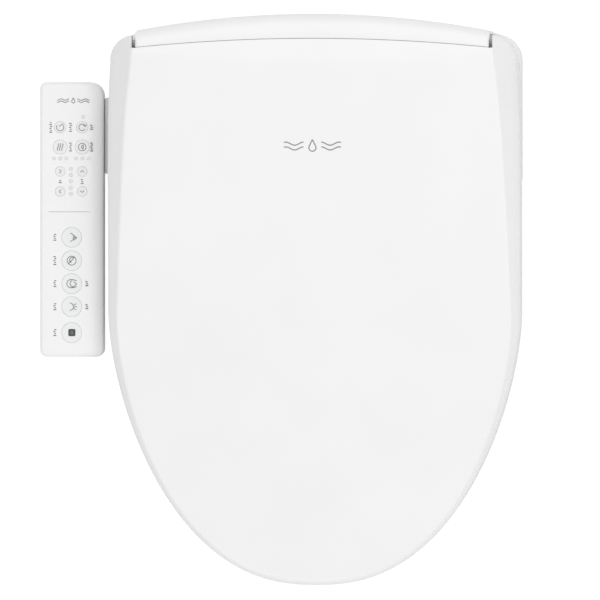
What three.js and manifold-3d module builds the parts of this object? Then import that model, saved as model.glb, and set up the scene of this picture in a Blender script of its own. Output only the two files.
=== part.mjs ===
// Electric bidet seat with a side control panel, as separate pieces on one frame.
// Millimetres, +Z up, +Y to the rear (tank side), -Y to the front, control panel on -X.
// Origin: midway between the two mounting bolts, on the plane of the bowl rim (z = 0).
import * as THREE from 'three';
import { mergeVertices } from 'three/addons/utils/BufferGeometryUtils.js';
import Module from 'manifold-3d';

const wasm = await Module();
wasm.setup();

// ---- driving dimensions ----
const CLEAR = 0.3;            // gap left between pieces that touch
const BOLT_SPACING = 140;
const REAR_Y = 62;            // rearmost point of the body
const FRONT_Y = -468;         // tip of the lid
const HALF_WIDTH = 191.7;     // lid half-width at its widest
const WIDEST_Y = -216;
const BODY_HALF = 190.7;
const BODY_FRONT_Y = -101;
const BASE_TOP = 38.5;        // parting line of the body
const HINGE = { y: 20, z: 117, pin: 3.2, hub: 6.5 };
const EAR_RADIUS = 23.5;      // the lid's ears end on this circle round the hinge
const LID_TOP = 127.5;        // lid's outer face above the hinge line
const LID_SLOPE = 0.1557;     // fall towards the front per mm
const LID_EDGE_Z = 40;        // lower edge of the lid's skirt
const LID_WALL = 3;
const BAR_HALF = 165.5;       // rear bar between the lid's ears
const BAR_TOP = 128;
const BLOCK_HALF = 137.3;     // raised middle of the body's cover
const SEAT = { bottom: 9, split: 13.7, top: 36, inset: 3, holeY: -275, holeLength: 132, holeHalf: 110 };
const PANEL = { x: -227.1, left: -256.5, right: -197.7, rear: -0.6, front: -255.8, bottom: 14, split: 34, top: 50 };
const NOZZLE = { tilt: 22, radius: 6.5, length: 118, tipY: -98, tipZ: -2 };
const DIP = -14.5;            // lowest point of the body, inside the bowl
const PINION = { radius: 8, teeth: 16, width: 5 };
const FAN = { x: -44, y: -48, z: 12, radius: 23 };

// ---- materials ----
const finish = (color, roughness, metalness = 0) => new THREE.MeshStandardMaterial({ color, roughness, metalness });
const GLOSS = finish(0xf3f4f5, 0.18);
const SATIN = finish(0xeceded, 0.4);
const PANEL_GLOSS = finish(0xf6f6f7, 0.22);
const KEY = finish(0xe9eaec, 0.45);
const STOP_KEY = finish(0xdfe1e4, 0.45);
const GREY = finish(0x9a9da1, 0.55);
const DARK = finish(0x3b3d40, 0.6);
const RUBBER = finish(0xb9bbbd, 0.8);
const LENS = finish(0xd8dfd9, 0.2);
const BOARD = finish(0x1f6b46, 0.6);
const STEEL = finish(0xc4c6c9, 0.3, 1);
const BRASS = finish(0xc9a659, 0.35, 1);

// ---- solids ----
function solid(geometry) {
  const bare = geometry.clone();
  bare.deleteAttribute('normal');
  bare.deleteAttribute('uv');
  const merged = mergeVertices(bare, 1e-3);
  const vertProperties = new Float32Array(merged.attributes.position.array);
  const triVerts = new Uint32Array(merged.index.array);
  return new wasm.Manifold(new wasm.Mesh({ numProp: 3, vertProperties, triVerts }));
}

function box(x0, x1, y0, y1, z0, z1) {
  const geometry = new THREE.BoxGeometry(x1 - x0, y1 - y0, z1 - z0);
  return solid(geometry.translate((x0 + x1) / 2, (y0 + y1) / 2, (z0 + z1) / 2));
}

const TURN = {
  x: new THREE.Matrix4().makeRotationZ(-Math.PI / 2),
  y: new THREE.Matrix4(),
  z: new THREE.Matrix4().makeRotationX(Math.PI / 2),
};

// A rod along one axis, from `low` to `high` on it, through the point `at`.
function rod(axis, radius, low, high, at, sides = 24) {
  const geometry = new THREE.CylinderGeometry(radius, radius, high - low, sides).applyMatrix4(TURN[axis]);
  const centre = at.clone().setComponent('xyz'.indexOf(axis), (low + high) / 2);
  return solid(geometry.translate(centre.x, centre.y, centre.z));
}

// A turned piece about the Z axis: pairs of radius and height, from axis to axis.
function turned(pairs, x, y, sides = 24) {
  const profile = pairs.map(([r, z]) => new THREE.Vector2(r, z));
  const geometry = new THREE.LatheGeometry(profile, sides).rotateX(Math.PI / 2);
  return solid(geometry.translate(x, y, 0));
}

// A plan outline raised from z0 to z1.
function slab(points, z0, z1) {
  const geometry = new THREE.ExtrudeGeometry(new THREE.Shape(points), { depth: z1 - z0, bevelEnabled: false });
  return solid(geometry.translate(0, 0, z0));
}

const v = (x, y) => new THREE.Vector2(x, y);
const at = (x, y, z) => new THREE.Vector3(x, y, z);

// A side outline of (y, z) pairs spread from x0 to x1.
function beam(pairs, x0, x1) {
  const shape = new THREE.Shape(pairs.map(([y, z]) => v(y, z)));
  const geometry = new THREE.ExtrudeGeometry(shape, { depth: x1 - x0, bevelEnabled: false });
  const turn = new THREE.Matrix4().makeBasis(at(0, 1, 0), at(0, 0, 1), at(1, 0, 0));
  return solid(geometry.applyMatrix4(turn).translate(x0, 0, 0));
}

// A front outline of (x, z) pairs spread from y0 to y1.
function bar(pairs, y0, y1) {
  const shape = new THREE.Shape(pairs.map(([x, z]) => v(x, z)));
  const geometry = new THREE.ExtrudeGeometry(shape, { depth: y1 - y0, bevelEnabled: false });
  const turn = new THREE.Matrix4().makeBasis(at(1, 0, 0), at(0, 0, 1), at(0, -1, 0));
  return solid(geometry.applyMatrix4(turn).translate(0, y1, 0));
}

// A skin through rings with the same number of points: the first ring's outline is
// extruded in steps and each step's points are moved onto its own ring.
function lofted(rings, flat = (p) => v(p.x, p.y)) {
  const outline = rings[0].map(flat);
  const steps = rings.length - 1;
  const shape = new THREE.Shape(outline);
  const geometry = new THREE.ExtrudeGeometry(shape, { depth: steps, steps, bevelEnabled: false });
  const position = geometry.attributes.position;
  const key = (x, y) => `${x.toFixed(3)} ${y.toFixed(3)}`;
  const index = new Map(outline.map((p, i) => [key(p.x, p.y), i]));
  for (let i = 0; i < position.count; i += 1) {
    const place = index.get(key(position.getX(i), position.getY(i)));
    const target = rings[Math.round(position.getZ(i))][place];
    position.setXYZ(i, target.x, target.y, target.z);
  }
  return solid(geometry);
}

// A round tube along a smooth line through the given points.
function tube(points, radius) {
  const path = new THREE.CatmullRomCurve3(points.map(([x, y, z]) => at(x, y, z)));
  const section = new THREE.Shape();
  section.absarc(0, 0, radius, 0, Math.PI * 2);
  return solid(new THREE.ExtrudeGeometry(section, { extrudePath: path, steps: 14, curveSegments: 5 }));
}

const hingeRod = (radius, low, high, sides = 24) => rod('x', radius, low, high, at(0, HINGE.y, HINGE.z), sides);

const join = (...pieces) => pieces.reduce((whole, piece) => whole.add(piece));
const mirrored = (piece) => piece.mirror([1, 0, 0]);
const bothSides = (piece) => piece.add(mirrored(piece));

// ---- outlines ----
const span = (count, from, to) => Array.from({ length: count }, (_, i) => from + ((to - from) * i) / (count - 1));

function lidHalf(y) {
  if (y > WIDEST_Y) return HALF_WIDTH - 3.1 * ((y - WIDEST_Y) / 232) ** 6;
  const t = Math.min(1, (WIDEST_Y - y) / (WIDEST_Y - FRONT_Y));
  return HALF_WIDTH * (1 - t ** 1.614) ** (1 / 2.3345);
}

const lidTop = (y) => LID_TOP + LID_SLOPE * (Math.min(y, 26) - 26);

// Width of the sloping flank between the lid's outline and its top panel's crease.
const flankWidth = (y) => 3.5 + 17.5 * Math.min(1, (y - FRONT_Y) / 500) ** 1.8;

// Right half of the lid's outline, from the front tip to the ear's inner edge.
function lidHalfOutline() {
  const turns = span(20, 0, Math.PI / 2);
  const front = turns.map((a) => FRONT_Y + (WIDEST_Y - FRONT_Y) * (1 - Math.cos(a)) ** 1.15);
  const sides = span(6, -170, 16);
  const arc = span(5, 0, Math.PI / 2).map((a) => v(168.6 + 20 * Math.cos(a), 22 + 20 * Math.sin(a)));
  const near = [...front, ...sides].map((y) => v(lidHalf(y), y));
  return [...near, ...arc, v(150, 42), v(0, 42)];
}

function wholeOutline(half) {
  const left = half.slice(1, -1).reverse().map((p) => v(-p.x, p.y));
  return [...half, ...left];
}

// Moves every point of a counter-clockwise outline inwards by its own distance.
function inset(outline, distance) {
  return outline.map((p, i) => {
    const before = outline[(i + outline.length - 1) % outline.length];
    const after = outline[(i + 1) % outline.length];
    const along = after.clone().sub(before).normalize();
    const d = typeof distance === 'number' ? distance : distance(p);
    return v(p.x - along.y * d, p.y + along.x * d);
  });
}

const ring = (outline, height) => outline.map((p) => at(p.x, p.y, height(p.y)));

const rearArc = (x) => REAR_Y - 15 * (x / 161) ** 2;
const lidRearEdge = (x) => 39 - 8 * (x / 161) ** 2;

// ---- lid ----
function lidSkin(thickness, below) {
  const outer = inset(wholeOutline(lidHalfOutline()), thickness);
  const crease = inset(outer, (p) => flankWidth(p.y))
    .map((p, i) => (outer[i].y > 16.5 ? v(Math.sign(outer[i].x) * Math.min(Math.abs(outer[i].x), 167), outer[i].y) : p));
  const shrunk = (k) => crease.map((p) => v(p.x * k, -200 + (p.y + 200) * k));
  const roof = (y) => lidTop(y) - thickness * 1.05;
  return lofted([
    ring(outer, () => below),
    ring(outer, (y) => roof(y) - 1.15 * flankWidth(y) - 1),
    ring(crease, roof),
    ring(shrunk(0.7), (y) => roof(y) + 0.9),
  ]);
}

function lid() {
  const ears = bothSides(box(167.2, 200, HINGE.y, 60, 80, 140));
  const hollow = join(lidSkin(LID_WALL, LID_EDGE_Z - 20), box(-166.9, 166.9, 15, 41.9, 0, LID_TOP - 3.4));
  const behind = slab([...span(15, -166.9, 166.9).map((x) => v(x, lidRearEdge(x))), v(166.9, 70), v(-166.9, 70)],
    0, 160);
  const corner = bothSides(box(150, 200, HINGE.y, 70, 0, 140).subtract(hingeRod(EAR_RADIUS, 149, 201, 64)));
  const shell = lidSkin(0, LID_EDGE_Z).subtract(hollow.subtract(ears)).subtract(behind).subtract(corner);
  const lug = join(hingeRod(7, 154, 162), box(154, 162, HINGE.y - 7, HINGE.y + 1, HINGE.z, LID_TOP - 3.4));
  const bore = hingeRod(HINGE.pin + CLEAR, 150, 166);
  return shell.add(bothSides(lug)).subtract(bothSides(bore));
}

// ---- seat ----
function seatOutline() {
  const front = inset(wholeOutline(lidHalfOutline()), SEAT.inset).filter((p) => p.x > -0.01 && p.y < -165);
  return wholeOutline([...front, v(188.4, -150), v(188.4, -112), v(181, -104.2), v(0, -104.2)]);
}

function holeOutline(grow = 0) {
  return span(49, 0, Math.PI * 2).slice(0, -1).map((a) => v(
    (SEAT.holeHalf + grow) * Math.sign(Math.cos(a)) * Math.abs(Math.cos(a)) ** 0.88,
    SEAT.holeY + (SEAT.holeLength + grow) * Math.sin(a),
  ));
}

// A band between the seat's outline and its hole, drawn in by `edge` on both sides.
function seatBand(edge, z0, z1) {
  return slab(inset(seatOutline(), edge), z0, z1).subtract(slab(holeOutline(edge), z0 - 1, z1 + 1));
}

function seatWing() {
  const side = beam([[HINGE.y, HINGE.z + HINGE.hub], [-118, 60], [-152, SEAT.top - 0.5], [-152, 30], [-104.2, 30],
    [-104.2, 43], [14, 104.4], [HINGE.y, HINGE.z - HINGE.hub]], 139, 187);
  const plan = slab([v(140, 45), v(151.6, 45), v(154, -5), v(165, -40), v(181, -78), v(184.4, -160), v(140, -160)],
    0, 150);
  const hub = hingeRod(HINGE.hub, 140, 151.6);
  const bore = hingeRod(HINGE.pin + CLEAR, 135, 160);
  return side.intersect(plan).add(hub).subtract(bore);
}

function seatTopShell() {
  const walls = seatBand(0, SEAT.split + CLEAR, 30);
  const rounded = seatBand(2.2, 29, 34).add(seatBand(6, 33, SEAT.top));
  const hollow = seatBand(4, 0, 31.8);
  return walls.add(rounded).subtract(hollow).add(bothSides(seatWing()).subtract(seatBand(3, 0, 31.8)));
}

const seatBaseShell = () => seatBand(0.6, SEAT.bottom, SEAT.split);
const seatHeater = () => seatBand(9, 30, 31.4);

// ---- body ----
function bodyHalfOutline() {
  const rear = span(6, 0, 160).map((x) => v(x, rearArc(x)));
  const corner = span(5, 75, 0).map((a) => a * Math.PI / 180)
    .map((a) => v(165.7 + 25 * Math.cos(a), 20 + 24 * Math.sin(a)));
  const toe = span(4, 0, 90).map((a) => a * Math.PI / 180)
    .map((a) => v(178.7 + 12 * Math.cos(a), -89 - 12 * Math.sin(a)));
  return [...rear, ...corner, ...toe, v(0, BODY_FRONT_Y)].reverse();
}

const bodyOutline = () => wholeOutline(bodyHalfOutline());

function baseChassis() {
  const tub = slab(bodyOutline(), 0, BASE_TOP).subtract(slab(inset(bodyOutline(), 2.8), 3, 60));
  const recess = join(
    box(-96, 96, -39, 80, -5, 3.6),
    box(-84, -56, -14, 80, -5, 9.4),
    box(56, 84, -14, 80, -5, 9.4),
  );
  const roof = join(
    box(-98.5, 98.5, -41.5, 57, 2, 6.4),
    box(-86.5, -53.5, -16.5, 55, 2, 12),
    box(53.5, 86.5, -16.5, 55, 2, 12),
  );
  const well = box(-75.4, 21.4, BODY_FRONT_Y + 2.6, -55.6, -1, 8);
  const ports = join(
    box(-10.6, 10.6, -110, -95, -1, 8.4),
    box(-74, -45.6, -110, -95, -1, 6.6),
    box(180, 200, -12, 12, 13, 27),
    box(150, 200, -86, -54, 9.6, 32.4),
    rod('z', 8.4, -5, 8, at(160, 18, 0)),
  );
  const bracket = box(PANEL.right + CLEAR, -189, -85.5, -15, 16, 33.5);
  return tub.add(roof).subtract(well).subtract(recess).subtract(ports).add(bracket);
}

// The hood under the body's front that holds the nozzle's and the dryer's mouths inside the bowl.
function nozzleHood() {
  const outer = box(-78, 24, BODY_FRONT_Y, -53, DIP, -CLEAR);
  const hollow = box(-75.4, 21.4, BODY_FRONT_Y + 2.6, -55.6, DIP + 2.4, 5);
  const mouths = join(box(-10.6, 10.6, -110, -95, DIP + 2.4, 5), box(-74, -45.6, -110, -95, -12, 5));
  return outer.subtract(hollow).subtract(mouths);
}

const coverTop = (y) => lidTop(y) - 6.4;

// Height of the body's shoulders, just under the seat's wings.
const shoulder = (y) => 43 - 2.2 + (y + 104.2) * 0.5195;

function coverForm(t) {
  const low = BASE_TOP + CLEAR;
  const rise = [[BODY_FRONT_Y + t, 84], [-98.5 + t, 92], [-92, coverTop(-92) - 3 - t], [-80, coverTop(-80) - t]];
  const middle = beam([[BODY_FRONT_Y + t, low], ...rise, [15.5 - t, coverTop(15.5) - t], [17.5 - t, 116 - t],
    [17.5 - t, 93.5 - t], [43.2 - t, 93.5 - t], [43.2 - t, low]], -BLOCK_HALF + t, BLOCK_HALF - t);
  const wings = beam([[BODY_FRONT_Y + t, low], [13 - t, low], [13 - t, 96 - t], [2, 96 - t],
    [-98 + t, shoulder(-98) - t], [BODY_FRONT_Y + t, low + 1]], -184.2 + t, 184.2 - t);
  const posts = bothSides(beam([[10, low], [43.2 - t, low], [43.2 - t, 96 - t], [10, 96 - t]], 100, 184.2 - t));
  return join(middle, wings, posts).subtract(bothSides(hingeRod(EAR_RADIUS + 1.2 + t, 165.9 - t, 190, 64)));
}

function topCover() {
  const plan = slab(inset(bodyOutline(), 6.4), BASE_TOP, 130);
  const shell = coverForm(0).intersect(join(plan, box(-170, 170, BODY_FRONT_Y, 20, 0, 130)));
  const hollow = join(coverForm(2.6).intersect(slab(inset(bodyOutline(), 9), 0, 130)),
    coverForm(2.6).translate([0, 0, -20]).intersect(slab(inset(bodyOutline(), 9), 0, 130)));
  const stalk = [[6, 90], [20.5, 90], [26, 115], [26, 119], [23, 122.5], [17, 122.5], [14, 119]];
  const support = bothSides(beam(stalk, 163, 165.6).add(beam(stalk, 134.6, BLOCK_HALF)));
  const bores = bothSides(hingeRod(HINGE.pin + CLEAR, 130, 170));
  return shell.subtract(hollow).add(support).subtract(bores);
}

// The rear bar: a rounded top, a rear wall, and a hollow front that clears the lid's edge.
function rearBar() {
  const low = BASE_TOP + CLEAR;
  const section = (x) => {
    const back = rearArc(x);
    const lip = lidRearEdge(x) + 0.6;
    const reach = Math.hypot(lidRearEdge(x) - HINGE.y, LID_TOP - HINGE.z) + 0.9;
    const roll = span(5, 0, 90).map((a) => a * Math.PI / 180)
      .map((a) => [back - 11 * (1 - Math.cos(a)), BAR_TOP - 11 * (1 - Math.sin(a))]);
    const start = Math.asin((BAR_TOP - 2.5 - HINGE.z) / reach);
    const scoop = span(5, start, -0.75).map((a) => [HINGE.y + reach * Math.cos(a), HINGE.z + reach * Math.sin(a)]);
    const floor = HINGE.z + reach * Math.sin(-0.75);
    return [[back, low], ...roll, [lip, BAR_TOP - 0.4], ...scoop, [back - 2.6, floor - 4], [back - 2.6, low]]
      .map(([y, z]) => at(x, y, z));
  };
  return lofted(span(15, -BAR_HALF, BAR_HALF).map(section), (p) => v(p.y, p.z));
}

const hingePin = () => hingeRod(HINGE.pin, 134.5, 166.3, 20);

// ---- mounting ----
function mountingPlate() {
  const plate = box(-95, 95, -38, 40, 0, 3.2);
  const hole = rod('z', 4.4, -5, 9, at(BOLT_SPACING / 2, 0, 0));
  return plate.subtract(bothSides(hole));
}

const bolt = (x) => turned([[0, -64], [3.4, -64], [4, -63], [4, 3.6], [8.5, 3.6], [8.5, 6.4], [7, 8.4], [0, 8.4]], x, 0);
const bush = (x) => turned([[4.4, -26], [9, -26], [12, -20], [12, -0.4], [4.4, -0.4], [4.4, -26]], x, 0);
const nut = (x) => turned([[4.4, -42], [16, -42], [16, -39], [9, -36], [9, -26.4], [4.4, -26.4], [4.4, -42]], x, 0, 12);

// ---- water path ----
const TILT = THREE.MathUtils.degToRad(NOZZLE.tilt);

// Puts a piece built along Y, with its tip at y = 0 and z = 0, onto the nozzle's slanted line.
const onNozzleLine = (piece) => piece.rotate([NOZZLE.tilt, 0, 0]).translate([0, NOZZLE.tipY, NOZZLE.tipZ]);

const pinionCentre = () => ({ along: 22, up: NOZZLE.radius + 2 + PINION.radius });

function nozzle() {
  const body = rod('y', NOZZLE.radius, 0.5, NOZZLE.length, at(0, 0, 0));
  const cap = rod('y', NOZZLE.radius - 1, -1, 0.6, at(0, 0, 0));
  const holes = join(
    rod('z', 0.9, 3, 10, at(0, 7, 0), 8),
    rod('z', 0.9, 3, 10, at(-2.4, 12, 0), 8),
    rod('z', 0.9, 3, 10, at(2.4, 12, 0), 8),
  );
  const rail = box(-2.4, 2.4, 10, NOZZLE.length, 5, NOZZLE.radius + 1);
  const pitch = (Math.PI * 2 * PINION.radius) / PINION.teeth;
  const first = pinionCentre().along - 0.5 * pitch;
  const count = Math.floor((NOZZLE.length - 2 - first) / pitch);
  const teeth = Array.from({ length: count + 9 }, (_, i) => first + (i - 8) * pitch).filter((y) => y > 14)
    .map((y) => beam([[y - 0.95, 7], [y + 0.95, 7], [y + 0.45, NOZZLE.radius + 2.9], [y - 0.45, NOZZLE.radius + 2.9]],
      -2.2, 2.2));
  return onNozzleLine(join(body, cap, rail, ...teeth).subtract(holes));
}

function nozzlePinion() {
  const { along, up } = pinionCentre();
  const core = rod('x', PINION.radius - 1.5, -2.4, 2.4, at(0, 0, 0), 32);
  const shaft = rod('x', 1.6, -2.4, 11, at(0, 0, 0), 12);
  const tooth = (i) => beam([[-0.95, 0], [0.95, 0], [0.45, PINION.radius + 0.7], [-0.45, PINION.radius + 0.7]], -2.2, 2.2)
    .rotate([(360 / PINION.teeth) * i, 0, 0]);
  const wheel = join(core, shaft, ...Array.from({ length: PINION.teeth }, (_, i) => tooth(i)));
  return onNozzleLine(wheel.translate([0, along, up]));
}

function nozzleGuide() {
  const wall = NOZZLE.radius + 2.6;
  const channel = box(-wall, wall, 4, 106, -wall, 3).subtract(rod('y', NOZZLE.radius + 0.35, -30, 120, at(0, 0, 0), 32))
    .subtract(box(-NOZZLE.radius - 0.35, NOZZLE.radius + 0.35, -30, 120, 0, 20));
  return onNozzleLine(channel);
}

function nozzleMotor() {
  const { along, up } = pinionCentre();
  const can = rod('x', 10, 12.6, 30, at(0, along, up), 28);
  const ears = box(12.6, 14, along - 13, along + 13, up - 5, up + 5);
  const bore = rod('x', 2, 10, 20, at(0, along, up), 12);
  return onNozzleLine(can.add(ears).subtract(bore));
}

// The cap on the nozzle's tip closes its port when the nozzle is drawn back.
const nozzleCap = () => onNozzleLine(rod('y', 9.2, -4, -1.4, at(0, 0, 0), 28));

function waterHeater() {
  const tank = bar([[36, 12], [40, 8], [114, 8], [118, 12], [118, 52], [114, 56], [40, 56], [36, 52]], -88, -24);
  const necks = join(rod('z', 4, 55, 64, at(50, -40, 0), 16), rod('z', 4, 55, 64, at(104, -40, 0), 16));
  return tank.add(necks);
}

const hoseToHeater = () => tube([[144, 18, 49], [142, 14, 60], [128, -14, 76], [108, -34, 82], [104, -40, 78], [104, -40, 68.2]], 3.5);
const hoseToNozzle = () => tube([[50, -40, 68.2], [50, -40, 78], [44, -28, 86], [30, -4, 88], [14, 22, 82], [4, 36, 66]], 3.5);

function inletValve() {
  const body = box(126, 172, 6, 32, 8.6, 34);
  const coil = rod('y', 9, 32, 36, at(150, 0, 22), 20);
  const neck = rod('z', 4, 33, 45.6, at(144, 18, 0), 16);
  return join(body, coil, neck);
}

const inletConnector = () => turned([[3, -20], [7, -20], [7, -8], [8, -7], [8, 8.2], [3, 8.2], [3, -20]], 160, 18);

function airPump() {
  return join(rod('y', 12, -44, -6, at(138, 0, 22), 24), box(124, 152, -6, 0, 10, 34));
}

// ---- air path ----
function blowerHousing() {
  const drum = rod('z', FAN.radius + 6, FAN.z, FAN.z + 26, at(FAN.x, FAN.y, 0), 40);
  const throat = box(FAN.x - FAN.radius - 6, FAN.x - 2, FAN.y - 34, FAN.y, FAN.z, FAN.z + 26);
  const inside = rod('z', FAN.radius + 3, FAN.z + 2.4, FAN.z + 23.6, at(FAN.x, FAN.y, 0), 40);
  const way = box(FAN.x - FAN.radius - 3.4, FAN.x - 4.4, FAN.y - 40, FAN.y, FAN.z + 2.4, FAN.z + 23.6);
  const eye = rod('z', 14, FAN.z + 20, FAN.z + 30, at(FAN.x, FAN.y, 0), 28);
  return drum.add(throat).subtract(inside.add(way)).subtract(eye);
}

function fanWheel() {
  const disc = rod('z', FAN.radius, FAN.z + 4, FAN.z + 6, at(0, 0, 0), 32);
  const boss = rod('z', 5, FAN.z + 4, FAN.z + 14, at(0, 0, 0), 20);
  const blade = (i) => box(FAN.radius - 7, FAN.radius - 0.6, -0.7, 0.7, FAN.z + 5, FAN.z + 21)
    .rotate([0, 0, (360 / 12) * i]);
  const rim = rod('z', FAN.radius, FAN.z + 19.4, FAN.z + 21, at(0, 0, 0), 32)
    .subtract(rod('z', FAN.radius - 5, FAN.z + 19, FAN.z + 22, at(0, 0, 0), 32));
  const blades = Array.from({ length: 12 }, (_, i) => blade(i));
  return join(disc, boss, rim, ...blades).translate([FAN.x, FAN.y, 0]);
}

function dryerDuct() {
  const outer = beam([[-82.4, 12.6], [-82.4, 37.4], [-87, 37.4], [-98, 9], [-98, -11.8], [-96, -11.8]], -72.8, -46.8);
  return outer.subtract(beam([[-80, 15], [-80, 35.2], [-85.6, 35.2], [-95.8, 8], [-95.8, 4.8], [-110, 4.8], [-110, -9.8],
    [-94.6, -9.8]], -70.8, -48.8));
}

function dryerFlap() {
  const leaf = box(-73.6, -46, BODY_FRONT_Y - 2, BODY_FRONT_Y - 0.4, -12.6, 6.2);
  return leaf.add(rod('x', 1.1, -73.6, -46, at(0, BODY_FRONT_Y - 1.4, 6.6), 12));
}

function deodorizerFilter() {
  const frame = box(156, 188, -85.4, -54.6, 10.2, 31.8).subtract(box(158.5, 184, -82, -58, 12.6, 40));
  return frame.add(box(187, BODY_HALF, -85.4, -54.6, 10.2, 31.8));
}

function filterCore() {
  const block = box(159, 183.5, -81.5, -58.5, 13, 30);
  const slots = span(5, 162, 180).map((x) => box(x - 0.9, x + 0.9, -79, -61, 22, 40));
  return block.subtract(join(...slots));
}

const releaseButton = () => join(box(186, 192.4, -11.4, 11.4, 13.6, 26.4), box(182.6, 186.4, -14, 14, 11.5, 28.5));

// ---- electronics ----
function powerSupply() {
  const block = box(-152, -104, -18, 34, 7, 34);
  const slots = span(6, -146, -110).map((x) => box(x - 1.2, x + 1.2, -10, 26, 31, 40));
  return block.subtract(join(...slots));
}

function mainBoard() {
  const board = box(-128, -30, -76, 6, 66, 67.6);
  const relays = span(3, -116, -76).map((x) => box(x - 7, x + 7, -68, -50, 67, 82));
  return join(board, ...relays, box(-60, -40, -20, 0, 67, 71), rod('z', 6, 67, 86, at(-100, -24, 0), 16));
}

// ---- control panel ----
function panelPlan(edge = 0) {
  const l = PANEL.left + edge;
  const r = PANEL.right - edge;
  const a = PANEL.front + edge;
  const b = PANEL.rear - edge;
  const arc = (cx, cy, rr, from) => span(5, from, from + 90).map((d) => d * Math.PI / 180)
    .map((d) => v(cx + rr * Math.cos(d), cy + rr * Math.sin(d)));
  const [small, mid, big] = [6.5 - edge * 0.6, 8 - edge * 0.6, 13 - edge * 0.6];
  return [...arc(r - mid, a + mid, mid, -90), ...arc(r - big, b - big, big, 0),
    ...arc(l + small, b - small, small, 90), ...arc(l + small, a + small, small, 180)];
}

// Cross-section of the panel's upper case: flat, then rolling down on the seat's side.
function panelSection(t) {
  const roll = span(6, 0, 90).map((d) => d * Math.PI / 180)
    .map((d) => [PANEL.right - 15 + (15 - t) * Math.sin(d), PANEL.top - 9 + (9 - t) * Math.cos(d)]);
  return [[PANEL.left + t, 0], [PANEL.right - t, 0], ...roll.reverse(), [PANEL.left + 3 + t, PANEL.top - t],
    [PANEL.left + t, PANEL.top - 3 - t]];
}

// Each push button: name, place across the panel from its middle, place along Y, radius.
const PADS = [
  ['button_power', -10.7, -42.6, 5.3], ['button_nozzle_clean', 9.8, -42.6, 5.3],
  ['button_water_temperature', -10.7, -60.9, 6.6], ['button_seat_temperature', 9.8, -60.9, 6.6],
  ['button_pressure_down', -10.7, -83.6, 4.5], ['button_pressure_up', 9.8, -83.6, 4.5],
  ['button_nozzle_back', -10.7, -102.2, 4.5], ['button_nozzle_forward', 9.8, -102.2, 4.5],
  ['button_rear_wash', 0, -144.8, 9.3], ['button_dry', 0, -166.5, 9.3],
  ['button_front_wash', 0, -187.9, 9.3], ['button_soft_wash', 0, -209.3, 9.3],
  ['button_stop', 0, -233.4, 9.3],
].map(([name, across, y, radius]) => [name, PANEL.x + across, y, radius]);

const LAMPS = [
  [10.9, -32.8], [-16.4, -71.5], [-10.6, -71.5], [-5, -71.5], [4.2, -71.5], [10.2, -71.5], [16, -71.5],
  [-0.7, -81.2], [-0.7, -87], [-0.7, -92.7], [-0.7, -98.8], [-0.7, -104.3],
].map(([across, y]) => [PANEL.x + across, y]);

function panelUpperCase() {
  const form = bar(panelSection(0), PANEL.front, PANEL.rear).intersect(slab(panelPlan(), PANEL.split + CLEAR, 60));
  const hollow = bar(panelSection(2.4), PANEL.front, PANEL.rear).intersect(slab(panelPlan(2.4), 0, 60));
  const holes = PADS.map(([, x, y, r]) => rod('z', r + 0.35, 40, 60, at(x, y, 0), 16));
  const windows = LAMPS.map(([x, y]) => rod('z', 1.9, 40, 60, at(x, y, 0), 8));
  const seam = box(PANEL.left + 8, PANEL.right + 5, -121.6, -120.6, PANEL.top - 0.8, 60);
  return form.subtract(hollow).subtract(join(...holes, ...windows, seam));
}

function panelLowerCase() {
  const tub = slab(panelPlan(), PANEL.bottom, PANEL.split).subtract(slab(panelPlan(2.4), PANEL.bottom + 2.4, 60));
  return tub;
}

const button = (x, y, r) => turned([[0, 42.6], [2, 42.6], [2, 45.9], [r + 0.7, 45.9], [r + 0.7, 47.2], [r, 47.2],
  [r, 50.4], [r - 0.7, 51], [0, 50.8]], x, y, 16);

function lightGuide() {
  const strip = (x0, x1, y0, y1) => box(PANEL.x + x0, PANEL.x + x1, y0, y1, 42.8, 44.2);
  const bars = join(strip(-2.9, 1.5, -107, -30), strip(-18.4, 18.2, -73, -70), strip(-0.5, 12.8, -34.4, -31.2));
  return join(bars, ...LAMPS.map(([x, y]) => rod('z', 1.5, 43.5, 49.8, at(x, y, 0), 8)));
}

const panelBoard = () => box(PANEL.left + 5, PANEL.right - 5, -246, -12, 39.4, 41);

// ---- assembly ----
const group = new THREE.Group();

function put(name, piece, material) {
  const mesh = piece.getMesh();
  const geometry = new THREE.BufferGeometry();
  geometry.setAttribute('position', new THREE.BufferAttribute(new Float32Array(mesh.vertProperties), 3));
  geometry.setIndex(new THREE.BufferAttribute(new Uint32Array(mesh.triVerts), 1));
  geometry.computeVertexNormals();
  const node = new THREE.Mesh(geometry, material);
  node.name = name;
  group.add(node);
}

put('mounting_plate', mountingPlate(), SATIN);
for (const [side, x] of [['left', -BOLT_SPACING / 2], ['right', BOLT_SPACING / 2]]) {
  put(`mounting_bolt_${side}`, bolt(x), STEEL);
  put(`rubber_bush_${side}`, bush(x), RUBBER);
  put(`wing_nut_${side}`, nut(x), GREY);
}

put('base_chassis', baseChassis(), GLOSS);
put('nozzle_hood', nozzleHood(), GLOSS);
put('top_cover', topCover(), SATIN);
put('rear_bar', rearBar(), GLOSS);
put('hinge_pin_right', hingePin(), STEEL);
put('hinge_pin_left', mirrored(hingePin()), STEEL);

put('lid', lid(), GLOSS);
put('seat_top_shell', seatTopShell(), GLOSS);
put('seat_base_shell', seatBaseShell(), SATIN);
put('seat_heater', seatHeater(), GREY);
for (const [side, x] of [['left', -1], ['right', 1]]) {
  put(`lid_bumper_${side}`, rod('z', 6, SEAT.top + CLEAR, 52, at(x * 70, -425, 0), 16), RUBBER);
  put(`seat_bumper_rear_${side}`, rod('z', 9, 0, SEAT.bottom - CLEAR, at(x * 140, -170, 0), 20), RUBBER);
  put(`seat_bumper_front_${side}`, rod('z', 9, 0, SEAT.bottom - CLEAR, at(x * 100, -395, 0), 20), RUBBER);
}

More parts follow.
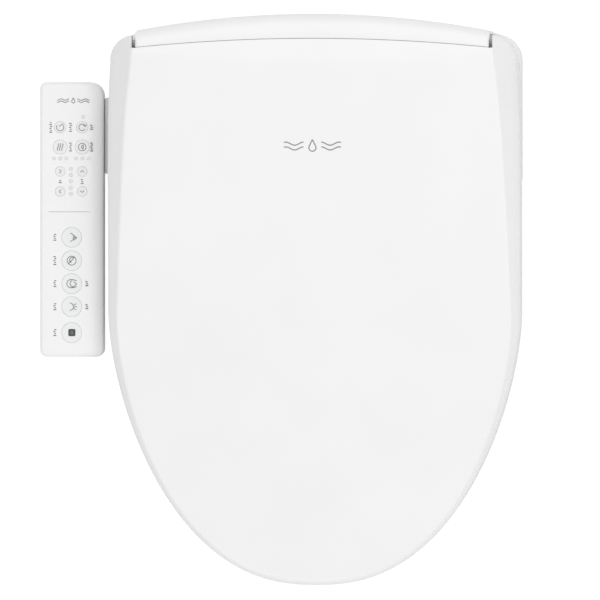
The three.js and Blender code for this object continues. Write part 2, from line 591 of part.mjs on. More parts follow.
put('nozzle_guide', nozzleGuide(), SATIN);
put('nozzle', nozzle(), STEEL);
put('nozzle_pinion', nozzlePinion(), GREY);
put('nozzle_motor', nozzleMotor(), STEEL);
put('nozzle_cap', nozzleCap(), SATIN);
put('water_heater', waterHeater(), GREY);
put('inlet_valve', inletValve(), SATIN);
put('inlet_connector', inletConnector(), BRASS);
put('hose_to_heater', hoseToHeater(), RUBBER);
put('hose_to_nozzle', hoseToNozzle(), RUBBER);
put('air_pump', airPump(), DARK);

put('blower_housing', blowerHousing(), DARK);
put('fan_wheel', fanWheel(), GREY);
put('dryer_duct', dryerDuct(), SATIN);
put('dryer_flap', dryerFlap(), SATIN);
put('deodorizer_drawer', deodorizerFilter(), GLOSS);
put('deodorizer_core', filterCore(), DARK);
put('release_button', releaseButton(), GREY);
put('power_supply', powerSupply(), DARK);
put('main_board', mainBoard(), BOARD);

put('panel_upper_case', panelUpperCase(), PANEL_GLOSS);
put('panel_lower_case', panelLowerCase(), GLOSS);
put('panel_light_guide', lightGuide(), LENS);
put('panel_board', panelBoard(), BOARD);
for (const [name, x, y, r] of PADS) {
  put(name, button(x, y, r), name === 'button_stop' ? STOP_KEY : KEY);
}

export default group;
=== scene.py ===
# Looks of the electric bidet seat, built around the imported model. Lengths are in millimetres
# until a mesh is made, and Blender holds metres. The front of the seat is at -Y.
import math

import bmesh
import bpy
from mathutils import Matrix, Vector
from mathutils.bvhtree import BVHTree


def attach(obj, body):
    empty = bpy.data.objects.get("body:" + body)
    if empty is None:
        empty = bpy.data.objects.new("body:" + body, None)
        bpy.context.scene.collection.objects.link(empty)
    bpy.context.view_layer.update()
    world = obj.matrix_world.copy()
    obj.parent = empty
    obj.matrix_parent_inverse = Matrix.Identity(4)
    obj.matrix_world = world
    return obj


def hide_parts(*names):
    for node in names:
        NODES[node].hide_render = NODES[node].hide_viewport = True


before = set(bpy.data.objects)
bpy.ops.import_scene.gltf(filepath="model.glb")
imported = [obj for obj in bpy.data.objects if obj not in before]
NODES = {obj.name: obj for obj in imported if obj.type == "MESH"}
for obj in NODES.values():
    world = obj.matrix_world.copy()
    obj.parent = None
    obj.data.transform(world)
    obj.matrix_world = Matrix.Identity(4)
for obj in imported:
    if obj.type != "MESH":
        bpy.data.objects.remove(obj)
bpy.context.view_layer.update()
MM = 0.001
QUARTER = math.pi / 2
SIDES = (("left", -1), ("right", 1))

# ---- driving dimensions, as in the solid model ----
# The whole seat, and the hinge line that lid and seat turn on.
FRONT_Y, REAR_Y, WIDEST_Y = -468.0, 62.0, -216.0
HALF_WIDTH, HINGE_HALF = 191.7, 188.6
HINGE_Y, HINGE_Z, HUB, PIN_HOLE = 20.0, 117.0, 6.2, 3.5

# The lid: its plan, its slope from the crest down to the nose, and its bevelled flanks.
NOSE_POWER, NOSE_ROOT, SIDE_TAPER, SIDE_RUN = 1.614, 2.3345, 3.1, 232
LID_TOP, LID_SLOPE, CREST_Y, LID_EDGE_Z, LID_WALL = 127.5, 0.1557, 26, 40.0, 3.0
FLANK_NOSE, FLANK_GROWTH, FLANK_RUN, FLANK_POWER, FLANK_DROP = 3.5, 17.5, 500, 1.8, 1.15
LID_REAR_Y, LID_REAR_BOW = 39, 8
CREASE_ROUND, CROWN, CROWN_RUN = 1.6, 1.6, 120
RIM, LIFT_RUN = 1.2, 1.2
LUG_NEAR, LUG_FAR, LUG_ROUND = 154, 162, 0.6

# The lid's ears beside the rear bar.
EAR_X, EAR_RADIUS, EAR_START_Y = 167.2, 23.5, 16
EAR_LONG, EAR_WIDE, EAR_CURVE = 21.9, 21.4, 1.9
EAR_TAPER, EAR_DROP, EAR_RUN = 0.094, 24.5, 20.4

# The rear bar and the body under it, whose backs follow one bow.
BAR_HALF, BAR_TOP, BAR_WALL, BAR_ROUND_Y, BAR_ROUND_Z = 165.5, 128.0, 2.6, 12, 11
REAR_BOW, BOW_HALF = 15, 161
BASE_TOP, BODY_HALF, BODY_FRONT, TUB_WALL, TUB_FLOOR = 38.5, 190.7, -101.0, 7.6, 3
TOE, CORNER_X, CORNER_Y = 12, 25, 24
BOLT_X = 70

# The seat's ring, its opening and its two arms.
RING_HALF, RING_REAR_Y, RING_CORNER, RING_INSET, RING_MIDDLE_Z = 188.4, -104.4, 10, 3, 30.0
HOLE_Y, HOLE_LONG, HOLE_HALF, HOLE_POWER = -275.0, 132.0, 110.0, 0.88
ARM_INNER, ARM_SPREAD, ARM_ROUND, ARM_ROUND_GROWTH = 140.0, 9, 4.0, 5
ARM_FRONT_Y, ARM_FRONT_Z, ARM_BEND_Y, ARM_BEND_Z, ARM_SLOPE = -164, 34.6, -118, 60, 0.4601
ARM_FOOT_Y, ARM_FOOT_Z, ARM_LOW_SLOPE = -104.2, 43, 0.5195

# The control panel and the radii of its keys.
PANEL_X, PANEL_L, PANEL_R = -227.1, -256.5, -197.7
PANEL_REAR, PANEL_FRONT, GROOVE_Y = -0.6, -255.8, -121.1
PANEL_LOW, PANEL_SPLIT, PANEL_TOP, PANEL_WALL, PANEL_ROUND = 14.0, 34.0, 50.0, 2.6, 3.0
LEFT_CORNER, REAR_CORNER, FRONT_CORNER = 6.5, 13.0, 8.0
KEY_TOP, KEY_GAP, LAMP_HOLE = 50.27, 0.16, 1.75
LARGE, WIDE, MEDIUM, SMALL = 9.3, 6.6, 5.3, 4.5

# ---- light and camera ----
HORIZON, ZENITH, OVERHEAD, FRONT_BOX, WHITE = 0.52, 0.97, 13.5, 7.0, 1.05
FLOOR_HALF, FLOOR_Z = 4000.0, -66.0
LENS_LENGTH, SENSOR, VIEW_WIDTH, CAMERA_TILT = 1500.0, 36.0, 556.8, 2.7
CAMERA_TARGET = (-13.2, -203.1, 80.0)


# ---- numbers and outlines ----
def span(count, low, high):
    """Evenly spaced values from low to high, both included."""
    return [low + (high - low) * i / (count - 1) for i in range(count)]


def bend(pairs, y):
    """The value at y on a line through pairs of place and value, in rising order."""
    for (y0, v0), (y1, v1) in zip(pairs, pairs[1:]):
        if y <= y1:
            return v0 + (v1 - v0) * (y - y0) / (y1 - y0)
    return pairs[-1][1]


def smoothstep(t):
    t = max(0.0, min(1.0, t))
    return t * t * (3 - 2 * t)


def blend3(a, b, c, t):
    """A point on the curve that leaves a and reaches c, drawn towards b."""
    return [(1 - t) ** 2 * p + 2 * t * (1 - t) * q + t * t * r for p, q, r in zip(a, b, c)]


def arc(cx, cy, r, start, end, count=15):
    """Points round a centre, between two angles in degrees."""
    angles = [math.radians(a) for a in span(count, start, end)]
    return [(cx + r * math.cos(a), cy + r * math.sin(a)) for a in angles]


def rounded_rectangle(left, right, low, high, radius, steps=4):
    """Outline with four round corners, anticlockwise."""
    centres = ((right - radius, high - radius, 0), (left + radius, high - radius, 90),
               (left + radius, low + radius, 180), (right - radius, low + radius, 270))
    ring = []
    for cx, cy, start in centres:
        for d in span(steps, 0, 90):
            a = math.radians(start + d)
            ring.append((cx + radius * math.cos(a), cy + radius * math.sin(a)))
    return ring


# ---- forms: points and faces ----
def skin(rings, closed=True, capped=False):
    """A surface through rings that have the same number of points."""
    count = len(rings[0])
    verts = [p for ring in rings for p in ring]
    around = range(count if closed else count - 1)
    faces = []
    for r in range(len(rings) - 1):
        for i in around:
            j = (i + 1) % count
            faces.append((r * count + i, r * count + j, (r + 1) * count + j, (r + 1) * count + i))
    if capped:
        faces.append(tuple(range(count)))
        faces.append(tuple(range((len(rings) - 1) * count, len(rings) * count)))
    return verts, faces


def merged(*parts):
    """Several forms as one."""
    verts, faces = [], []
    for more_verts, more_faces in parts:
        shift = len(verts)
        verts += more_verts
        faces += [tuple(i + shift for i in face) for face in more_faces]
    return verts, faces


def turned(profile, x, y, sides=48):
    """A turned form about the vertical line through x, y, from pairs of radius and height."""
    rings = []
    for radius, z in profile:
        rings.append([(x + radius * math.cos(2 * math.pi * i / sides),
                       y + radius * math.sin(2 * math.pi * i / sides), z) for i in range(sides)])
    return skin(rings)


def turned_x(profile, side, sides=48):
    """A turned form about the hinge line, from pairs of radius and distance from the middle."""
    verts, faces = turned(profile, 0, 0, sides)
    return [(side * z, HINGE_Y + x, HINGE_Z + y) for x, y, z in verts], faces


def bore(x, y, radius, low, high, sides=48):
    """A plain upright cylinder, to cut a hole with."""
    return turned([(0, low), (radius, low), (radius, high), (0, high)], x, y, sides)


def pin_bore(side):
    """The hole for the hinge pin, through the lid's lug and the seat's arm."""
    return turned_x([(0, 130), (PIN_HOLE, 130), (PIN_HOLE, 165.9), (0, 165.9)], side)


def block(x0, x1, y0, y1, z0, z1):
    """A plain box between its limits."""
    corners = [(x0, y0), (x1, y0), (x1, y1), (x0, y1)]
    return skin([[(x, y, z) for x, y in corners] for z in (z0, z1)], capped=True)


def lobed(profile, x, y, lobes, sides=96):
    """A turned form whose rim waves in and out: triples of radius, wave depth and height."""
    rings = []
    for radius, depth, z in profile:
        ring = []
        for i in range(sides):
            a = 2 * math.pi * i / sides
            r = radius - depth * (0.5 - 0.5 * math.cos(lobes * a))
            ring.append((x + r * math.cos(a), y + r * math.sin(a), z))
        rings.append(ring)
    return skin(rings, capped=True)


def threaded(x, y, low, high, pitch=1.75, radius=3.7, depth=0.28, sides=28):
    """A screw thread from low to high, as one true spiral."""
    rings = []
    for z in span(round((high - low) / pitch * 6), low, high):
        ring = []
        for i in range(sides):
            turn = i / sides
            r = radius + depth * math.cos(2 * math.pi * (z / pitch - turn))
            ring.append((x + r * math.cos(2 * math.pi * turn), y + r * math.sin(2 * math.pi * turn), z))
        rings.append(ring)
    return skin(rings, capped=True)


def stroke(points, width, z, x=0.0, y=0.0, scale=1.0):
    """A flat printed line along the points."""
    verts, faces = [], []
    for i, p in enumerate(points):
        a = Vector(points[max(0, i - 1)])
        b = Vector(points[min(len(points) - 1, i + 1)])
        side = (b - a).normalized().orthogonal() * width / 2
        here = Vector(p) * scale
        verts.append((x + here.x + side.x, y + here.y + side.y, z))
        verts.append((x + here.x - side.x, y + here.y - side.y, z))
    for i in range(len(points) - 1):
        faces.append((2 * i, 2 * i + 1, 2 * i + 3, 2 * i + 2))
    return verts, faces


def emblem_strokes(width, height):
    """A plain mark of our own: a drop between two ripples."""
    tip, belly = (0, height * 0.5), height * 0.3
    drop = [tip]
    drop += [(belly * math.cos(a), height * (-0.18 + 0.3 * math.sin(a)))
             for a in span(13, 0.5, -math.pi - 0.5)]
    drop.append(tip)
    start = height * 0.75
    ripples = []
    for side in (-1, 1):
        for lift in (-0.24, 0.16):
            ripples.append([(side * x, height * (lift + 0.13 * math.cos((x - start) / height * 4.2)))
                            for x in span(25, start, width / 2)])
    return [drop] + ripples


# ---- pieces ----
def tidy_mesh(mesh, forms, sharp):
    """Adds forms to a mesh, joins what meets, and smooths it except where faces meet sharply."""
    bm = bmesh.new()
    bm.from_mesh(mesh)
    for verts, faces in forms:
        made = [bm.verts.new(Vector(p) * MM) for p in verts]
        for face in faces:
            bm.faces.new([made[i] for i in face])
    bmesh.ops.remove_doubles(bm, verts=bm.verts, dist=2e-6)
    bmesh.ops.dissolve_degenerate(bm, edges=bm.edges, dist=1e-6)
    bmesh.ops.recalc_face_normals(bm, faces=bm.faces)
    bm.to_mesh(mesh)
    bm.free()
    shade(mesh, sharp)


def shade(mesh, sharp):
    """Smooth shading, except at edges sharper than an angle in degrees."""
    mesh.shade_smooth()
    mesh.set_sharp_from_angle(angle=math.radians(sharp))


def make(name, verts, faces, material, body, stands_for=(), slot="gloss_white", sharp=32):
    """A mesh piece from points in millimetres, which rides on a body and may replace solids."""
    mesh = bpy.data.meshes.new(name)
    mesh.from_pydata([Vector(p) * MM for p in verts], [], faces)
    mesh.materials.append(material)
    tidy_mesh(mesh, [], sharp)
    piece = bpy.data.objects.new(name, mesh)
    bpy.context.scene.collection.objects.link(piece)
    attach(piece, body)
    if stands_for:
        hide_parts(*stands_for)
    return piece


def modifier(piece, kind, **settings):
    added = piece.modifiers.new(kind.lower(), kind)
    for key, value in settings.items():
        setattr(added, key, value)


def soften(piece, width, angle, segments=2):
    """Bevels the edges that are sharper than an angle in degrees."""
    modifier(piece, "BEVEL", width=width * MM, segments=segments, limit_method="ANGLE",
             angle_limit=math.radians(angle), use_clamp_overlap=True)


def bake(piece):
    """Applies the modifiers of a piece made here."""
    graph = bpy.context.evaluated_depsgraph_get()
    graph.update()
    mesh = bpy.data.meshes.new_from_object(piece.evaluated_get(graph))
    piece.modifiers.clear()
    piece.data = mesh


def combine(piece, operation, *forms):
    """Adds forms to a piece or cuts them from it."""
    for form in forms:
        tool = make("tool", *form, GLOSS, "base")
        modifier(piece, "BOOLEAN", operation=operation, object=tool, solver="EXACT")
        bake(piece)
        bpy.data.objects.remove(tool)


# ---- materials ----
def shader(name):
    material = bpy.data.materials.new(name)
    material.use_nodes = True
    nodes = material.node_tree.nodes
    return material, nodes, material.node_tree.links, nodes["Principled BSDF"]


def noise(nodes, links, scale, detail=3.0):
    place = nodes.new("ShaderNodeTexCoord")
    node = nodes.new("ShaderNodeTexNoise")
    node.inputs["Scale"].default_value = scale
    node.inputs["Detail"].default_value = detail
    links.new(place.outputs["Object"], node.inputs["Vector"])
    return node


def ramp(nodes, links, source, low, high):
    """The output of a ramp between two colours, or two grey values, driven by a noise."""
    node = nodes.new("ShaderNodeValToRGB")
    for element, value in zip(node.color_ramp.elements, (low, high)):
        element.color = (*value, 1) if isinstance(value, tuple) else (value, value, value, 1)
    node.color_ramp.elements[0].position = 0.3
    node.color_ramp.elements[1].position = 0.7
    links.new(source, node.inputs["Fac"])
    return node.outputs["Color"]


def moulded(name, low, high, rough, grain=900.0, bump=0.02, coat=0.0, metal=0.0, patchy=0.035):
    """Moulded plastic or metal: faint colour drift, uneven gloss and a fine surface texture."""
    material, nodes, links, bsdf = shader(name)
    drift = noise(nodes, links, 14.0)
    links.new(ramp(nodes, links, drift.outputs["Fac"], low, high), bsdf.inputs["Base Color"])
    smear = noise(nodes, links, 55.0, 4.0)
    gloss = ramp(nodes, links, smear.outputs["Fac"], rough - patchy, rough + patchy)
    links.new(gloss, bsdf.inputs["Roughness"])
    texture = noise(nodes, links, grain, 2.0)
    lift = nodes.new("ShaderNodeBump")
    lift.inputs["Strength"].default_value = bump
    lift.inputs["Distance"].default_value = 0.0002
    links.new(texture.outputs["Fac"], lift.inputs["Height"])
    links.new(lift.outputs["Normal"], bsdf.inputs["Normal"])
    bsdf.inputs["Metallic"].default_value = metal
    bsdf.inputs["Coat Weight"].default_value = coat
    bsdf.inputs["Coat Roughness"].default_value = 0.12
    return material


def white_to_camera(nodes, links, plain, kind, result):
    """Shows the camera even white, while every other ray meets the plain shader."""
    white = nodes.new(kind)
    white.inputs["Color"].default_value = (1, 1, 1, 1)
    white.inputs["Strength"].default_value = WHITE
    seen = nodes.new("ShaderNodeLightPath")
    mix = nodes.new("ShaderNodeMixShader")
    links.new(seen.outputs["Is Camera Ray"], mix.inputs["Fac"])
    links.new(plain, mix.inputs[1])
    links.new(white.outputs[0], mix.inputs[2])
    links.new(mix.outputs["Shader"], nodes[result].inputs["Surface"])


GLOSS = moulded("white_gloss", (0.872, 0.87, 0.872), (0.892, 0.89, 0.892), 0.25, coat=0.12, patchy=0.01)
SATIN = moulded("white_satin", (0.8, 0.797, 0.8), (0.83, 0.827, 0.83), 0.42, grain=1500, bump=0.06)
PANEL = moulded("panel_gloss", (0.884, 0.882, 0.884), (0.902, 0.9, 0.902), 0.26, coat=0.12, patchy=0.01)
KEY = moulded("key_cap", (0.83, 0.835, 0.84), (0.86, 0.865, 0.87), 0.38, grain=1800, bump=0.05)
INK = moulded("printed_ink", (0.16, 0.165, 0.17), (0.2, 0.205, 0.21), 0.5)
STOP_INK = moulded("stop_ink", (0.05, 0.05, 0.052), (0.07, 0.07, 0.072), 0.5)
PALE_INK = moulded("pale_ink", (0.36, 0.365, 0.37), (0.42, 0.425, 0.43), 0.5)
LID_INK = moulded("lid_ink", (0.24, 0.245, 0.25), (0.3, 0.305, 0.31), 0.4)
GREY = moulded("grey_plastic", (0.42, 0.43, 0.44), (0.5, 0.51, 0.52), 0.45, bump=0.05)
DARK = moulded("dark_plastic", (0.02, 0.021, 0.023), (0.04, 0.041, 0.044), 0.5, bump=0.08)
RUBBER = moulded("soft_rubber", (0.5, 0.505, 0.51), (0.58, 0.585, 0.59), 0.7, grain=700, bump=0.12)
STEEL = moulded("steel", (0.55, 0.56, 0.57), (0.68, 0.69, 0.7), 0.26, grain=2500, bump=0.04, metal=1.0)
BRASS = moulded("brass", (0.62, 0.45, 0.2), (0.72, 0.54, 0.27), 0.3, metal=1.0)
BOARD = moulded("circuit_board", (0.015, 0.1, 0.045), (0.03, 0.17, 0.08), 0.45, grain=400, bump=0.2)
LENS = moulded("lamp_lens", (0.72, 0.74, 0.72), (0.78, 0.8, 0.78), 0.15, coat=0.5)


# ---- shared outlines ----
def lid_half(y):
    """Half of the lid's width: nearly straight sides, then a long round nose."""
    if y > WIDEST_Y:
        return HALF_WIDTH - SIDE_TAPER * ((y - WIDEST_Y) / SIDE_RUN) ** 6
    t = min(1.0, (WIDEST_Y - y) / (WIDEST_Y - FRONT_Y))
    return HALF_WIDTH * (1 - t ** NOSE_POWER) ** (1 / NOSE_ROOT)


def lid_top(y):
    """Height of the lid's top, which slopes down to the front from its ears."""
    return LID_TOP + LID_SLOPE * (min(y, CREST_Y) - CREST_Y)


def flank_width(y):
    """Width of the bevelled flank in plan, which grows towards the rear."""
    t = min(1.0, max(0.0, (y - FRONT_Y) / FLANK_RUN))
    return FLANK_NOSE + FLANK_GROWTH * t ** FLANK_POWER


def rear_arc(x):
    """The back of the body and the bar, bowed in plan."""
    return REAR_Y - REAR_BOW * (x / BOW_HALF) ** 2


def lid_rear_edge(x):
    """The lid's rear edge, where its top meets the bar."""
    return LID_REAR_Y - LID_REAR_BOW * (x / BOW_HALF) ** 2


EAR_Y = lid_rear_edge(EAR_X)
EAR_STATIONS = sorted(span(7, HINGE_Y, EAR_Y) + [EAR_Y + 0.3]
                      + [HINGE_Y + EAR_LONG * math.sin(a) for a in span(16, 0.52, 1.555)])


def lid_low(y):
    """Lower edge of the lid: level along the skirt, then a circle round the hinge at the ears."""
    if y < HINGE_Y:
        lift = max(0.0, (y - HINGE_Y + LIFT_RUN) / LIFT_RUN)
        return LID_EDGE_Z + (HINGE_Z - EAR_RADIUS - LID_EDGE_Z) * lift
    return HINGE_Z - math.sqrt(max(0.0, EAR_RADIUS ** 2 - (y - HINGE_Y) ** 2))


def right_outline():
    """Right half of the lid's outline from the front tip to the hinge line."""
    points = []
    for a in span(64, 0, QUARTER):
        y = FRONT_Y + (WIDEST_Y - FRONT_Y) * (1 - math.cos(a)) ** 1.15
        points.append((lid_half(y), y))
    points += [(lid_half(y), y) for y in span(26, -207, 14)]
    return points + [(HINGE_HALF, y) for y in (16.5, HINGE_Y - LIFT_RUN, HINGE_Y)]


def ear_outline(y):
    """Outer edge of the ear in plan: square to the side at the hinge, slanting in at the rear."""
    t = min(1.0, (y - HINGE_Y) / EAR_LONG)
    return EAR_X + EAR_WIDE * (1 - t ** EAR_CURVE) ** (1 / EAR_CURVE)


def normals(points):
    """Outward sideways directions of an open line that runs from the tip to the rear, on the right."""
    found = []
    for i in range(len(points)):
        a = points[max(0, i - 1)]
        b = points[min(len(points) - 1, i + 1)]
        d = Vector((b[1] - a[1], a[0] - b[0])).normalized()
        found.append((d.x, d.y))
    found[0] = (0.0, -1.0)
    return found


# ---- lid ----
def crease_beside(point, normal):
    """Where the flank meets the top, beside a point of the outline."""
    x, y = point
    if y > EAR_START_Y:
        return EAR_X + max(0.0, (EAR_Y - y) * EAR_TAPER), y
    wide = flank_width(y)
    return max(0.0, x - normal[0] * wide), y - normal[1] * wide


def lid_profile(point, normal):
    """Points of the lid's outer surface from just inside the crease down to the lower edge."""
    x, y = point
    crease = crease_beside(point, normal)
    run = math.hypot(x - crease[0], y - crease[1])
    out = ((x - crease[0]) / run, (y - crease[1]) / run) if run > 1e-6 else normal
    top, low = lid_top(crease[1]), lid_low(y)
    drop = FLANK_DROP * flank_width(y) + 1 if y < HINGE_Y else EAR_DROP * run / EAR_RUN
    size = min(CREASE_ROUND, run * 0.35)
    knee = (x, y, top - drop)
    fall = (knee[2] - top) / max(run, 0.1)
    corner = (*crease, top)
    inner = (crease[0] - out[0] * size, crease[1] - out[1] * size, top)
    first = (crease[0] + out[0] * size, crease[1] + out[1] * size, top + fall * size)
    last = tuple(c + (k - c) * 0.62 for c, k in zip(corner, knee))
    foot = (x, y, knee[2] - min(7.0, (knee[2] - low) * 0.5))
    points = [(crease[0] - out[0] * size * 2.2, crease[1] - out[1] * size * 2.2, top)]
    points += [blend3(inner, corner, first, t) for t in span(5, 0, 1)]
    points += [[a + (b - a) * t for a, b in zip(first, last)] for t in (0.33, 0.66)]
    points += [blend3(last, knee, foot, t) for t in span(7, 0, 1)]
    points += [[x, y, foot[2] + (low + RIM - foot[2]) * t] for t in (0.5, 1.0)]
    points += [[x - normal[0] * 0.35, y - normal[1] * 0.35, low + 0.35]]
    points += [[x - normal[0] * RIM, y - normal[1] * RIM, low]]
    return points


def ear_section(y):
    """The lid's profile at one station of the ear, kept clear of the rear bar."""
    profile = lid_profile((ear_outline(y), y), (1.0, 0.0))
    if y <= EAR_Y + 1e-6:
        return profile
    return [[max(px, EAR_X), py, pz] for px, py, pz in profile]


def top_row(x, y, z):
    """Points of the crowned top from the crease at one station to the middle of the lid."""
    morph = smoothstep((y + 20) / (EAR_Y + 20))
    row = []
    for f in span(21, 1, 0):
        dip = (lid_rear_edge(x * f) - EAR_Y) * morph
        rise = lid_top(y + dip) - lid_top(y)
        crown = min(CROWN, BAR_TOP - 0.1 - z - rise) * (1 - f * f) * smoothstep(x / CROWN_RUN)
        row.append((x * f, y + dip, z + crown + rise))
    return row


def lid_surface():
    """The skirt, flanks and top as one sheet, without the ears."""
    outline = right_outline()
    profiles = [lid_profile(p, n) for p, n in zip(outline, normals(outline))]
    stations = profiles + [ear_section(y) for y in EAR_STATIONS if HINGE_Y < y <= EAR_Y]
    rows = [top_row(*profile[0]) for profile in stations]
    right = merged(skin(profiles, closed=False), skin(rows, closed=False))
    return merged(right, ([(-x, y, z) for x, y, z in right[0]], right[1]))


def ear_form(side):
    """One closed ear, whose outer face runs on from the lid's flank at the hinge line."""
    rings = []
    for y in EAR_STATIONS:
        section = ear_section(y)
        low = section[-1][2]
        ring = section + [[EAR_X, y, low], [EAR_X, y, min(section[0][2] - 1.0, 124.0)]]
        rings.append([(side * px, py, pz) for px, py, pz in ring])
    return skin(rings, capped=True)


def build_lid_shell():
    lid = make("lid_shell", *lid_surface(), GLOSS, "lid", ["lid"], sharp=50)
    modifier(lid, "SOLIDIFY", thickness=LID_WALL * MM, offset=-1.0, use_even_offset=False)
    bake(lid)
    tidy_mesh(lid.data, [ear_form(-1), ear_form(1)], 50)
    soften(lid, 0.5, 60)
    modifier(lid, "WEIGHTED_NORMAL", keep_sharp=True)
    bake(lid)
    return lid


def build_lid_emblem(lid):
    """The printed mark near the lid's rear, laid on its crowned top."""
    verts, faces = merged(*[stroke(line, 1.1, 200.0, 0.0, -60.0) for line in emblem_strokes(53, 11)])
    tree = BVHTree.FromPolygons([v.co for v in lid.data.vertices], [p.vertices for p in lid.data.polygons])
    laid = []
    for x, y, z in verts:
        hit = tree.ray_cast(Vector((x, y, z)) * MM, (0, 0, -1))[0]
        laid.append((x, y, hit.z / MM + 0.06))
    make("lid_emblem", laid, faces, LID_INK, "lid", slot="gloss_white")


def build_lid_lugs():
    """The two hubs under the lid that turn on the hinge pins, each on a web."""
    bevel = [(6.4, LUG_NEAR), (7, LUG_NEAR + LUG_ROUND), (7, LUG_FAR - LUG_ROUND), (6.4, LUG_FAR)]
    hub_profile = [(3.4, LUG_NEAR), *bevel, (3.4, LUG_FAR), (3.4, LUG_NEAR)]
    web_outline = ((13.2, HINGE_Z), (26.8, HINGE_Z), (25, 124), (8, 124))
    web_sides = (LUG_NEAR + 0.4, LUG_FAR - 0.4)
    for name, side in SIDES:
        web = skin([[(side * x, y, z) for y, z in web_outline] for x in web_sides], capped=True)
        hub = turned_x(hub_profile, side)
        lug = make(f"lid_lug_{name}", *hub, GLOSS, "lid", sharp=30)
        combine(lug, "UNION", web)
        combine(lug, "DIFFERENCE", pin_bore(side))


def build_lid():
    lid = build_lid_shell()
    build_lid_emblem(lid)
    build_lid_lugs()


# ---- seat ----
# Cross-section of the ring: share of the way from its outer edge to its opening, and height.
RING_PROFILE = [
    (0.05, 9.0), (0.012, 9.4), (0.0, 11.0), (0.0, 13.4), (0.004, 13.7), (0.004, 14.1), (0.0, 14.4),
    (0.0, 22.0), (0.006, 28.0), (0.03, 32.0), (0.075, 34.6), (0.14, 35.8), (0.22, 36.0), (0.5, 35.4),
    (0.74, 33.6), (0.88, 31.0), (0.96, 27.0), (1.0, 21.0), (1.0, 14.0), (0.985, 10.0), (0.95, 9.0),
]
ARM_OUTER = ((-160, 185.4), (-78, 181), (-40, 165), (-5, 154), (45, 151.6))
PAD = [(0, 8.7), (7.6, 8.7), (9, 7.6), (9, 3), (8.4, 1.2), (7, 0.2), (5, 0), (3, 0.5), (0, 0.8)]


def ring_outer():
    """Plan of the ring: the lid's outline drawn in, with a straight rear and two round corners."""
    outline = [p for p in right_outline() if p[1] < -170]
    outline = [(x - n[0] * RING_INSET, y - n[1] * RING_INSET)
               for (x, y), n in zip(outline, normals(outline))]
    outline += [(RING_HALF, y) for y in span(8, -165, -118)]
    corner_x, corner_y = RING_HALF - RING_CORNER, RING_REAR_Y - RING_CORNER
    outline += [(corner_x + RING_CORNER * math.cos(a), corner_y + RING_CORNER * math.sin(a))
                for a in span(8, 0.1, QUARTER)]
    outline += [(x, RING_REAR_Y) for x in span(14, 168, 0)]
    return outline + [(-x, y) for x, y in outline[-2:0:-1]]


def ring_opening(outer):
    """The point of the opening that faces each point of the outer edge."""
    opening = []
    for x, y in outer:
        a = math.atan2((y - HOLE_Y) / HOLE_LONG, x / HOLE_HALF)
        across = math.copysign(abs(math.cos(a)) ** HOLE_POWER, math.cos(a))
        opening.append((HOLE_HALF * across, HOLE_Y + HOLE_LONG * math.sin(a)))
    return opening


def seat_ring():
    outer = ring_outer()
    pairs = list(zip(outer, ring_opening(outer)))
    rings = []
    for t, z in RING_PROFILE:
        rings.append([(a[0] + (b[0] - a[0]) * t, a[1] + (b[1] - a[1]) * t, z) for a, b in pairs])
    verts, faces = skin(rings)
    count = len(outer)
    last = (len(rings) - 1) * count
    faces += [(i, (i + 1) % count, last + (i + 1) % count, last + i) for i in range(count)]
    return verts, faces


def arm_heights(y):
    """Lower and upper edge of the arm: round at the hub, then sloping, then curving into the ring."""
    if y > 15:
        half = math.sqrt(HUB ** 2 - (y - HINGE_Y) ** 2)
        return HINGE_Z - half, HINGE_Z + half
    low = ARM_FOOT_Z + ARM_LOW_SLOPE * (y - ARM_FOOT_Y) if y > ARM_FOOT_Y else RING_MIDDLE_Z
    if y > ARM_BEND_Y:
        return low, ARM_BEND_Z + ARM_SLOPE * (y - ARM_BEND_Y)
    t = max(0.0, (y - ARM_FRONT_Y) / (ARM_BEND_Y - ARM_FRONT_Y))
    return low, ARM_FRONT_Z + (ARM_BEND_Z - ARM_FRONT_Z) * t * t * (2 - t)


def wing(side):
    """The raised arm that carries the ring from its hinge on one side."""
    hub_stations = [HINGE_Y + HUB * f for f in (0.985, 0.91, 0.77, 0.52, 0.22)]
    rings = []
    for y in hub_stations + span(40, 19, -160):
        low, high = arm_heights(y)
        inner = ARM_INNER - ARM_SPREAD * smoothstep((-100 - y) / 50)
        radius = ARM_ROUND + ARM_ROUND_GROWTH * smoothstep((-70 - y) / 50)
        radius = min(radius, (high - low) * 0.45)
        outline = rounded_rectangle(inner, bend(ARM_OUTER, y), low, high, radius, 5)
        rings.append([(side * x, y, z) for x, z in outline])
    return skin(rings, capped=True)


def build_seat():
    make("seat_ring", *seat_ring(), GLOSS, "seat", ["seat_top_shell", "seat_base_shell", "seat_heater"],
         sharp=60)
    for name, side in SIDES:
        arm = make(f"seat_wing_{name}", *wing(side), GLOSS, "seat", sharp=45)
        modifier(arm, "SUBSURF", levels=1, render_levels=1)
        bake(arm)
        combine(arm, "DIFFERENCE", pin_bore(side))
        for place, x, y in (("rear", 140, -170), ("front", 100, -395)):
            make(f"seat_pad_{place}_{name}", *turned(PAD, side * x, y), RUBBER, "seat",
                 [f"seat_bumper_{place}_{name}"], "rubber_grey")


